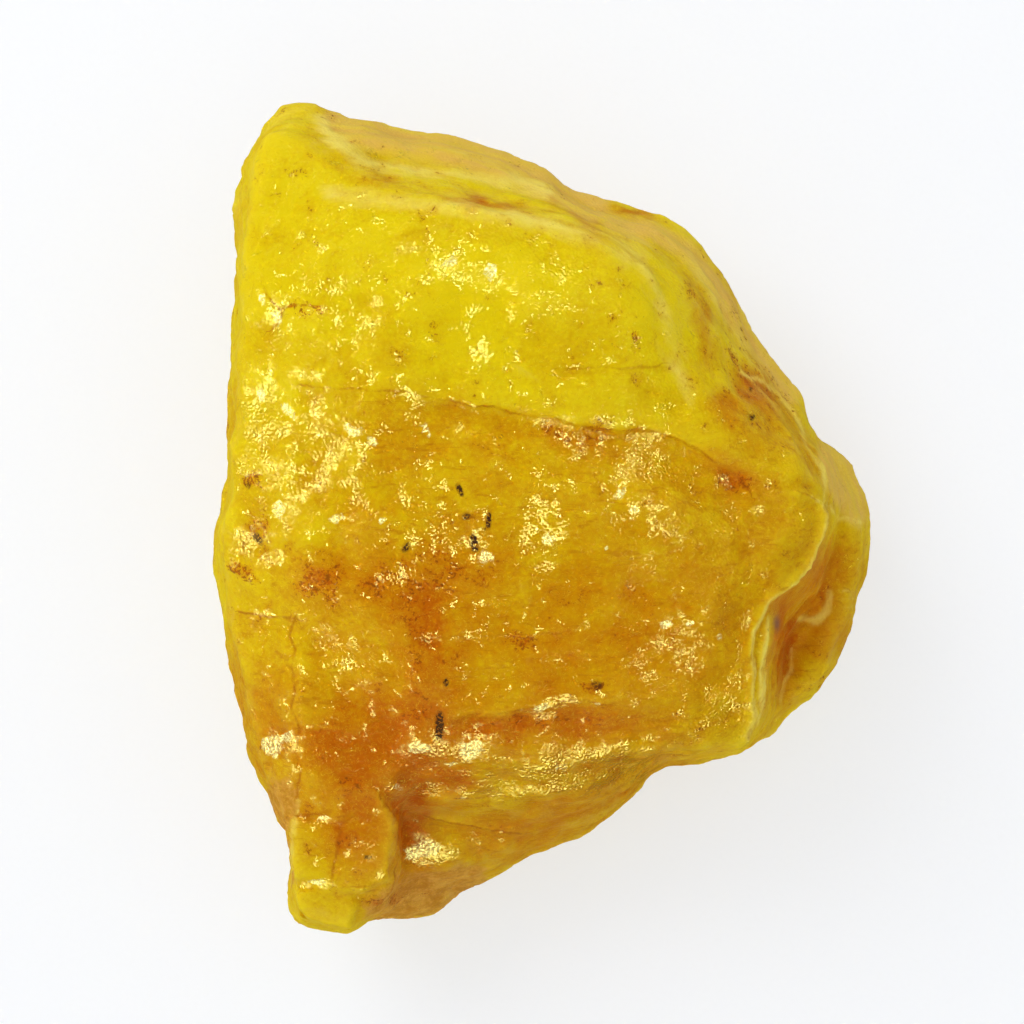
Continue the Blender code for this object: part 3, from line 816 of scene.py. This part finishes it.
class Nodes:
    """Short calls that build a material's node tree."""

    def __init__(self, tree):
        self.tree = tree

    def add(self, kind, inputs=None, **settings):
        node = self.tree.nodes.new(kind)
        for name, value in settings.items():
            setattr(node, name, value)
        for name, value in (inputs or {}).items():
            if isinstance(value, bpy.types.NodeSocket):
                self.tree.links.new(value, node.inputs[name])
            else:
                node.inputs[name].default_value = value
        return node

    def attribute(self, name, output="Fac"):
        return self.add("ShaderNodeAttribute", attribute_name=name).outputs[output]

    def math(self, operation, a, b=0.0, c=0.0, clamp=False):
        node = self.add("ShaderNodeMath", {0: a, 1: b, 2: c}, operation=operation, use_clamp=clamp)
        return node.outputs[0]

    def noise(self, vector, size, detail, roughness, distortion):
        """Noise of 0 to 1 with features of that size in millimetres, for coordinates in millimetres."""
        inputs = {"Vector": vector, "Scale": 1.0 / size, "Detail": detail, "Roughness": roughness,
                  "Distortion": distortion}
        return self.add("ShaderNodeTexNoise", inputs).outputs["Fac"]

    def stir(self, value, noise, amount):
        """The value pushed up and down by a noise of 0 to 1."""
        return self.math("MULTIPLY_ADD", self.math("SUBTRACT", noise, 0.5), amount, value)

    def step(self, value, low, high, to_low=0.0, to_high=1.0):
        inputs = {"Value": value, "From Min": low, "From Max": high, "To Min": to_low, "To Max": to_high}
        return self.add("ShaderNodeMapRange", inputs, interpolation_type="SMOOTHSTEP").outputs["Result"]

    def line(self, value, level, *limits):
        """A step on how far the value is from a level, which draws the lines where it passes the level."""
        return self.step(self.math("ABSOLUTE", self.math("SUBTRACT", value, level)), *limits)

    def ramp(self, value, stops):
        node = self.add("ShaderNodeValToRGB", {"Fac": value})
        elements = node.color_ramp.elements
        while len(elements) < len(stops):
            elements.new(0.5)
        for element, (position, colour) in zip(elements, stops):
            element.position = position
            element.color = (*colour, 1.0)
        return node.outputs["Color"]

    def mix(self, factor, a, b, blend="MIX"):
        node = self.add("ShaderNodeMix", data_type="RGBA", blend_type=blend)
        for socket, value in ((node.inputs[0], factor), (node.inputs[6], a), (node.inputs[7], b)):
            if isinstance(value, bpy.types.NodeSocket):
                self.tree.links.new(value, socket)
            elif isinstance(value, tuple):
                socket.default_value = (*value, 1.0)
            else:
                socket.default_value = value
        return node.outputs[2]

    def bump(self, height, distance, strength=1.0, normal=None):
        inputs = {"Height": height, "Distance": distance, "Strength": strength}
        if normal is not None:
            inputs["Normal"] = normal
        return self.add("ShaderNodeBump", inputs).outputs["Normal"]


# Body colours, linear, from clear lemon through gold to the deepest orange stain.
LEMON = (0.75, 0.570, 0.003)
YELLOW = (0.68, 0.445, 0.002)
GOLDEN = (0.60, 0.305, 0.0015)
AMBER = (0.54, 0.196, 0.001)
ORANGE = (0.47, 0.106, 0.001)
CREAM_COLOUR = (0.87, 0.71, 0.13)
SAND_COLOUR = (0.74, 0.50, 0.05)
APRICOT_COLOUR = (0.74, 0.46, 0.085)
TAN_COLOUR = (0.47, 0.19, 0.015)
PALE_TAN_COLOUR = (0.66, 0.34, 0.05)
STREAK_COLOUR = (0.44, 0.14, 0.002)
# Painted highlight: the near-white of the brightest glint spots
PAINTED_GLINT_WHITE = (0.98, 0.90, 0.40)
SCARLET = (0.46, 0.085, 0.002)
RUST_COLOUR = (0.23, 0.060, 0.003)
INK_COLOUR = (0.035, 0.012, 0.008)
PURPLE_COLOUR = (0.16, 0.09, 0.08)
CREASE_COLOUR = (0.38, 0.100, 0.002)
# Painted light: a pale glow on thin bulging edges, and shade in hollows
PAINTED_EDGE_GLOW = (0.90, 0.70, 0.03)
HOLLOW_SHADE = (0.80, 0.60, 0.40)
# Painted light on the crinkle: pale painted glints along its lines, painted shade beside them
PAINTED_GLINT_COLOUR = (0.96, 0.81, 0.06)
DIP_SHADE = (0.62, 0.46, 0.25)
PIT_COLOUR = (0.26, 0.12, 0.01)
GOLD_RAMP = [(0.05, LEMON), (0.28, YELLOW), (0.52, GOLDEN), (0.78, AMBER), (1.0, ORANGE)]

# Noises of the material: (size in millimetres, detail, roughness, distortion).
NOISES = {
    "cloud": (1.1, 4.0, 0.62, 0.4),
    "clump": (0.75, 3.0, 0.68, 0.6),
    "speck": (0.42, 4.0, 0.75, 0.4),
    "grain": (0.22, 3.0, 0.62, 0.0),
    "dust": (0.13, 2.0, 0.65, 0.0),
    "crinkle": (0.145, 0.0, 0.55, 0.0),
}
FIBRE_NOISE = (0.75, 4.0, 0.58, 0.3)
STRATA_NOISE = (0.34, 3.0, 0.6, 0.5)
STRATA_STRETCH = (0.22, 1.0, 1.0)

# How far the noises stir what is marked on the skin
GLINT_BY_CLOUD = 1.6
GLINT_BY_CLUMP = 2.6
WHITE_GLINT_BY_CLUMP = 1.6
GOLD_BY_CLOUD = 0.60
GOLD_BY_GRAIN = 0.55
CREAM_BY_FIBRE = 1.1
CREAM_BY_CLOUD = 0.5
APRICOT_BY_FIBRE = 0.5
TAN_BY_CLUMP = 0.8
PALE_TAN_BY_GRAIN = 0.5
CREASE_BY_GRAIN = 0.12
RUST_BY_CLOUD = 2.2
RUST_DUST_BY_GRAIN = 0.8
RUST_DUST_BY_STAIN = 0.14
INK_BY_GRAIN = 5.0

# Where it comes in, and after those two values what it goes from and to, unless that is 0 and 1
GLINT_RANGE = (0.25, 1.0)
CRINKLED_RANGE = (0.60, 0.68, 0.0, 0.9)
WHITE_GLINT_RANGE = (0.35, 0.70)
FIBRE_GOLD_RANGE = (0.35, 0.60, 0.12, 0.0)
STRATA_RANGE = (0.55, 0.68, 0.0, 0.50)
STRATA_GOLD_RANGE = (0.25, 0.50)
CREAM_RANGE = (0.15, 0.90, 0.0, 0.85)
NET_CREAM_RANGE = (0.35, 0.60, 0.1, 0.45)
SAND_IN_CREAM_RANGE = (0.45, 0.75)
APRICOT_RANGE = (0.25, 0.70, 0.0, 0.92)
SAND_IN_APRICOT_RANGE = (0.40, 0.62)
TAN_RANGE = (0.30, 0.60, 0.0, 0.92)
PALE_TAN_RANGE = (0.55, 0.95)
CREASE_RANGE = (0.01, 0.12, 1.0, 0.0)
CREASE_GAPS_RANGE = (0.38, 0.58, 0.25, 1.0)
AMBER_SPECK_RANGE = (0.63, 0.71, 0.0, 0.35)
DRAWN_RANGE = (0.42, 0.54)
DIP_LEVEL = 0.46
TIP_LEVEL = 0.54
DIP_AND_TIP_RANGE = (0.0, 0.04, 1.0, 0.0)
WHITE_GLINT_NET_LEVEL = 0.5
WHITE_GLINT_NET_RANGE = (0.02, 0.13, 0.95, 0.20)
STAIN_RANGE = (0.15, 0.9)
RUSTY_RANGE = (0.1, 1.0)
RUST_RANGE = (0.59, 0.66)
RUST_STRENGTH_RANGE = (0.15, 0.5, 0.0, 0.85)
DARK_RUST_RANGE = (0.45, 0.60)
PIT_RANGE = (0.33, 0.27, 0.0, 0.6)
INK_RIM_RANGE = (5.0, 1.0, 0.0, 0.55)
INK_RANGE = (1.9, 1.2)
INK_DUST_RANGE = (0.40, 0.50)
FIBRE_BUMP_RANGE = (0.15, 0.6)

# How strongly it shows
GLINT_SHARE = 0.8
# The painted edge glow's share, then the painted shade's share in hollows
EDGE_GLOW_SHARE = 0.30
HOLLOW_SHARE = 0.55
CREASE_SHARE = 0.8
# How strongly the crinkle's painted glints and painted shade show, everywhere and more on crinkles
DRAWN_SHARE = 0.25
DRAWN_ON_CRINKLES = 0.60
STAIN_SHARE = 0.38
PURPLE_SHARE = 0.8

# The stone's surface. What is added on glints and on cream follows the value elsewhere.
FIBRE_BUMP = 0.05 * MM
CRINKLE_BUMP = 0.10 * MM
CRINKLE_STRENGTH = 0.30
CRINKLE_ON_GLINTS = 0.70
ROUGHNESS = 0.50
ROUGHNESS_ON_GLINTS = -0.10
ROUGHNESS_ON_CREAM = 0.14
COAT = 0.02
COAT_ON_GLINTS = 0.98
CORUNDUM_IOR = 1.76
STONE_SURFACE = {
    "Coat Roughness": 0.05,
    "Coat IOR": CORUNDUM_IOR,
    "IOR": CORUNDUM_IOR,
    "Specular IOR Level": 0.04,
    "Specular Tint": (1.0, 0.88, 0.30, 1.0),
    "Subsurface Weight": 0.25,
    "Subsurface Radius": (1.0, 0.65, 0.12),
    "Subsurface Scale": 1.2 * MM,
    "Metallic": 0.0,
}


def new_material(name, surface):
    """A material whose shader has the given constants, as the material, its node calls and its shader."""
    material = bpy.data.materials.new(name)
    material.use_nodes = True
    shader = material.node_tree.nodes["Principled BSDF"]
    for socket, value in surface.items():
        shader.inputs[socket].default_value = value
    return material, Nodes(material.node_tree), shader


def stone_material():
    material, n, shader = new_material("waxy_yellow_corundum", STONE_SURFACE)
    link = material.node_tree.links.new

    place = n.add("ShaderNodeTexCoord").outputs["Object"]
    mm = n.add("ShaderNodeVectorMath", {0: place, "Scale": 1.0 / MM}, operation="SCALE").outputs["Vector"]
    cloud, clump, speck, grain, dust, crinkle = (n.noise(mm, *shape) for shape in NOISES.values())
    fibre = n.noise(n.attribute("fibres", "Vector"), *FIBRE_NOISE)
    strata_place = n.add("ShaderNodeVectorMath", {0: mm, 1: STRATA_STRETCH}, operation="MULTIPLY")
    strata = n.noise(strata_place.outputs["Vector"], *STRATA_NOISE)

    # Where the skin is crinkled and polished
    glint = n.stir(n.math("MULTIPLY", n.attribute("glint"), GLINT_SHARE), cloud, GLINT_BY_CLOUD)
    glint = n.step(n.stir(glint, clump, GLINT_BY_CLUMP), *GLINT_RANGE)
    crinkled = n.math("MAXIMUM", glint, n.step(clump, *CRINKLED_RANGE))
    glint = n.math("MULTIPLY", crinkled, n.attribute("level"))
    # White glint spots: polished here, and painted near-white further down
    white_glint = n.step(n.stir(n.attribute("white_glint"), clump, WHITE_GLINT_BY_CLUMP), *WHITE_GLINT_RANGE)
    glint = n.math("MAXIMUM", glint, white_glint)

    # Body colour, from lemon to orange
    gold = n.stir(n.stir(n.attribute("gold"), cloud, GOLD_BY_CLOUD), grain, GOLD_BY_GRAIN)
    gold = n.math("MULTIPLY_ADD", n.attribute("flank"), n.step(fibre, *FIBRE_GOLD_RANGE), gold, clamp=True)
    colour = n.ramp(gold, GOLD_RAMP)
    # Painted glow: bulging, thin edges are painted paler
    colour = n.mix(n.math("MULTIPLY", n.attribute("edge_glow"), EDGE_GLOW_SHARE), colour, PAINTED_EDGE_GLOW)
    golden = n.step(n.attribute("gold"), *STRATA_GOLD_RANGE)
    colour = n.mix(n.math("MULTIPLY", n.step(strata, *STRATA_RANGE), golden), colour, STREAK_COLOUR)

    # Pale fields
    apricot = n.step(n.stir(n.attribute("apricot"), fibre, APRICOT_BY_FIBRE), *APRICOT_RANGE)
    apricot_colour = n.mix(n.step(fibre, *SAND_IN_APRICOT_RANGE), APRICOT_COLOUR, SAND_COLOUR)
    colour = n.mix(apricot, colour, apricot_colour)
    cream = n.stir(n.stir(n.attribute("cream"), fibre, CREAM_BY_FIBRE), cloud, CREAM_BY_CLOUD)
    net_cream = n.math("MULTIPLY", n.attribute("facet"), n.step(grain, *NET_CREAM_RANGE))
    cream = n.math("MAXIMUM", n.step(cream, *CREAM_RANGE), net_cream)
    cream_colour = n.mix(n.step(cloud, *SAND_IN_CREAM_RANGE), CREAM_COLOUR, SAND_COLOUR)
    colour = n.mix(cream, colour, cream_colour)
    tan = n.step(n.stir(n.attribute("tan"), clump, TAN_BY_CLUMP), *TAN_RANGE)
    tan_mottle = n.math("MULTIPLY_ADD", grain, PALE_TAN_BY_GRAIN, clump)
    tan_colour = n.mix(n.step(tan_mottle, *PALE_TAN_RANGE), TAN_COLOUR, PALE_TAN_COLOUR)
    colour = n.mix(tan, colour, tan_colour)

    # Painted shade in hollows; cracks; and the crinkle's lines, painted as pale glints with painted shade
    # beside them
    # Painted shade, darker the deeper the hollow
    hollow = n.math("MULTIPLY", n.attribute("hollow"), HOLLOW_SHARE)
    colour = n.mix(hollow, colour, HOLLOW_SHADE, "MULTIPLY")
    off_line = n.math("MULTIPLY_ADD", n.attribute("crease_side"), 2.0 * CREASE_REACH, -CREASE_REACH)
    off_line = n.math("ABSOLUTE", n.stir(off_line, grain, CREASE_BY_GRAIN))
    crease = n.math("MULTIPLY", n.step(off_line, *CREASE_RANGE), n.step(cloud, *CREASE_GAPS_RANGE))
    crease = n.math("MULTIPLY", crease, n.attribute("crease"))
    colour = n.mix(n.math("MULTIPLY", crease, CREASE_SHARE), colour, CREASE_COLOUR)
    colour = n.mix(n.step(speck, *AMBER_SPECK_RANGE), colour, AMBER)
    # The crinkle's lines are painted as light and shade: a pale painted glint along one level, painted shade
    # along the other
    drawn = n.math("MULTIPLY_ADD", crinkled, DRAWN_ON_CRINKLES, DRAWN_SHARE)
    drawn = n.math("MULTIPLY", drawn, n.step(speck, *DRAWN_RANGE))
    dips = n.line(crinkle, DIP_LEVEL, *DIP_AND_TIP_RANGE)
    colour = n.mix(n.math("MULTIPLY", dips, drawn), colour, DIP_SHADE, "MULTIPLY")
    painted_glints = n.line(crinkle, TIP_LEVEL, *DIP_AND_TIP_RANGE)
    colour = n.mix(n.math("MULTIPLY", painted_glints, drawn), colour, PAINTED_GLINT_COLOUR)
    # Painted highlight: a near-white net over the white glint spots
    white_glint_net = n.line(crinkle, WHITE_GLINT_NET_LEVEL, *WHITE_GLINT_NET_RANGE)
    colour = n.mix(n.math("MULTIPLY", white_glint, white_glint_net), colour, PAINTED_GLINT_WHITE)

    # Rust, pits, ink marks and the purple spot
    stain = n.stir(n.attribute("rust"), cloud, RUST_BY_CLOUD)
    colour = n.mix(n.math("MULTIPLY", n.step(stain, *STAIN_RANGE), STAIN_SHARE), colour, ORANGE)
    rust = n.stir(dust, grain, RUST_DUST_BY_GRAIN)
    rust = n.math("MULTIPLY_ADD", n.step(stain, *RUSTY_RANGE), RUST_DUST_BY_STAIN, rust)
    rust = n.math("MULTIPLY", n.step(rust, *RUST_RANGE), n.step(stain, *RUST_STRENGTH_RANGE))
    colour = n.mix(rust, colour, n.mix(n.step(grain, *DARK_RUST_RANGE), SCARLET, RUST_COLOUR))
    colour = n.mix(n.step(speck, *PIT_RANGE), colour, PIT_COLOUR)
    mark_place = n.add("ShaderNodeSeparateXYZ", {0: n.attribute("ink", "Vector")}).outputs
    x, y, strength = (mark_place[axis] for axis in "XYZ")
    off_mark = n.stir(n.math("MULTIPLY_ADD", y, y, n.math("MULTIPLY", x, x)), grain, INK_BY_GRAIN)
    colour = n.mix(n.math("MULTIPLY", n.step(off_mark, *INK_RIM_RANGE), strength), colour, RUST_COLOUR)
    ink = n.math("MULTIPLY", strength, n.step(dust, *INK_DUST_RANGE))
    ink = n.math("MULTIPLY", n.step(off_mark, *INK_RANGE), ink)
    colour = n.mix(ink, colour, INK_COLOUR)
    colour = n.mix(n.math("MULTIPLY", n.attribute("purple"), PURPLE_SHARE), colour, PURPLE_COLOUR)
    link(colour, shader.inputs["Base Color"])

    # Skin: a fine crinkle, strongest and most polished on the glinting patches
    bumps = n.bump(fibre, FIBRE_BUMP, n.step(n.attribute("cream"), *FIBRE_BUMP_RANGE))
    crinkle_strength = n.math("MULTIPLY_ADD", glint, CRINKLE_ON_GLINTS, CRINKLE_STRENGTH)
    bumps = n.bump(crinkle, CRINKLE_BUMP, crinkle_strength, bumps)
    link(bumps, shader.inputs["Normal"])
    link(bumps, shader.inputs["Coat Normal"])
    roughness = n.math("MULTIPLY_ADD", glint, ROUGHNESS_ON_GLINTS, ROUGHNESS)
    roughness = n.math("MULTIPLY_ADD", cream, ROUGHNESS_ON_CREAM, roughness)
    link(roughness, shader.inputs["Roughness"])
    coat = n.math("MULTIPLY_ADD", glint, COAT_ON_GLINTS, COAT)
    link(n.math("MULTIPLY", coat, n.math("SUBTRACT", 1.0, ink)), shader.inputs["Coat Weight"])
    return material


def build_stone():
    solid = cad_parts["rough_sapphire"]
    stone = fine_skin(solid)
    cut_faces(stone)
    points, normal, plate = weather(stone)
    mark(stone, points, normal, plate)
    stone.data.materials.clear()
    stone.data.materials.append(stone_material())
    for face in stone.data.polygons:
        face.use_smooth = True
    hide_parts("rough_sapphire")
    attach(stone, "root")


# The studio, in metres. Reflections see its sky as two bright arcs of one ring and a panel.
FLOOR_HALF = 1.5
FLOOR_SURFACE = {
    "Base Color": (0.42, 0.43, 0.45, 1.0),
    "Emission Color": (0.985, 1.0, 1.03, 1.0),
    "Emission Strength": 0.56,
    "Roughness": 0.9,
    "Specular IOR Level": 0.1,
}
DOME_HORIZON = 0.45
DOME_ZENITH = 0.86
DOME_IN_REFLECTIONS = 0.02
REFLECTION_TINT = (1.0, 0.95, 0.26)
RING_HEIGHT = 0.74
RING_HALF_WIDTH = 0.05
RING_RANGE = (0.8 * RING_HALF_WIDTH, RING_HALF_WIDTH, 44.0, 0.0)
NEAR_ARC_RANGE = (-0.2, 0.3)
FAR_ARC_RANGE = (-0.35, -0.7, 0.0, 0.7)
PANEL_FOOT = 0.02
PANEL_TOP = 0.68
PANEL_FOOT_RANGE = (PANEL_FOOT, 2.0 * PANEL_FOOT)
PANEL_TOP_RANGE = (PANEL_TOP, 0.9 * PANEL_TOP)
PANEL_AWAY_FROM = (0.6, 0.8)
PANEL_RANGE = (-0.45, -0.60, 0.0, 9.0)
KEY_PLACE = (-0.20, 0.20, 0.32)
KEY_TARGET = (0.0, 0.0, 0.01)
KEY_SIDE = 0.24
KEY_POWER = 0.62
CAMERA_PLACE = (-0.00165, 0.00042, 0.297)
CAMERA_LENS = 200.0
CAMERA_SENSOR = 36.0
CAMERA_NEAREST = 0.01


def build_floor():
    corners = [(x * FLOOR_HALF, y * FLOOR_HALF, 0.0) for x, y in ((-1, -1), (1, -1), (1, 1), (-1, 1))]
    mesh = bpy.data.meshes.new("floor")
    mesh.from_pydata(corners, [], [(0, 1, 2, 3)])
    mesh.materials.append(new_material("pale_floor", FLOOR_SURFACE)[0])
    floor = new_object("floor", mesh)
    floor.visible_glossy = False


def build_key():
    lamp = bpy.data.lights.new("key", "AREA")
    lamp.size = KEY_SIDE
    lamp.energy = KEY_POWER
    key = new_object("key", lamp)
    key.location = KEY_PLACE
    aim = Vector(KEY_TARGET) - Vector(KEY_PLACE)
    key.rotation_euler = aim.to_track_quat("-Z", "Y").to_euler()
    key.visible_camera = False
    key.visible_glossy = False


def build_world():
    world = bpy.data.worlds.new("studio")
    world.use_nodes = True
    n = Nodes(world.node_tree)
    mirrored = n.add("ShaderNodeLightPath").outputs["Is Glossy Ray"]
    background = world.node_tree.nodes["Background"]
    world.node_tree.links.new(n.mix(mirrored, (1.0, 1.0, 1.0), REFLECTION_TINT), background.inputs["Color"])
    direction = n.add("ShaderNodeSeparateXYZ", {0: n.add("ShaderNodeTexCoord").outputs["Generated"]}).outputs
    x, y, height = (direction[axis] for axis in "XYZ")
    glow = n.math("MULTIPLY_ADD", height, DOME_ZENITH - DOME_HORIZON, DOME_HORIZON)
    upper_left = n.math("SUBTRACT", y, x)
    arcs = n.math("ADD", n.step(upper_left, *NEAR_ARC_RANGE), n.step(upper_left, *FAR_ARC_RANGE))
    ring = n.math("MULTIPLY_ADD", n.line(height, RING_HEIGHT, *RING_RANGE), arcs, DOME_IN_REFLECTIONS)
    panel = n.math("MULTIPLY", n.step(height, *PANEL_FOOT_RANGE), n.step(height, *PANEL_TOP_RANGE))
    away_x, away_y = PANEL_AWAY_FROM
    away = n.math("MULTIPLY_ADD", x, away_x, n.math("MULTIPLY", y, away_y))
    panel = n.math("MULTIPLY", panel, n.step(away, *PANEL_RANGE))
    reflected = n.math("MULTIPLY", mirrored, n.math("ADD", ring, panel))
    strength = n.math("MULTIPLY_ADD", n.math("SUBTRACT", 1.0, mirrored), glow, reflected)
    world.node_tree.links.new(strength, background.inputs["Strength"])
    bpy.context.scene.world = world


def build_camera():
    data = bpy.data.cameras.new("camera")
    data.lens = CAMERA_LENS
    data.sensor_width = CAMERA_SENSOR
    data.clip_start = CAMERA_NEAREST
    camera = new_object("camera", data)
    camera.location = CAMERA_PLACE
    bpy.context.scene.camera = camera


build_camera()
build_stone()
build_floor()
build_world()
build_key()
bpy.context.scene.view_settings.view_transform = "Standard"
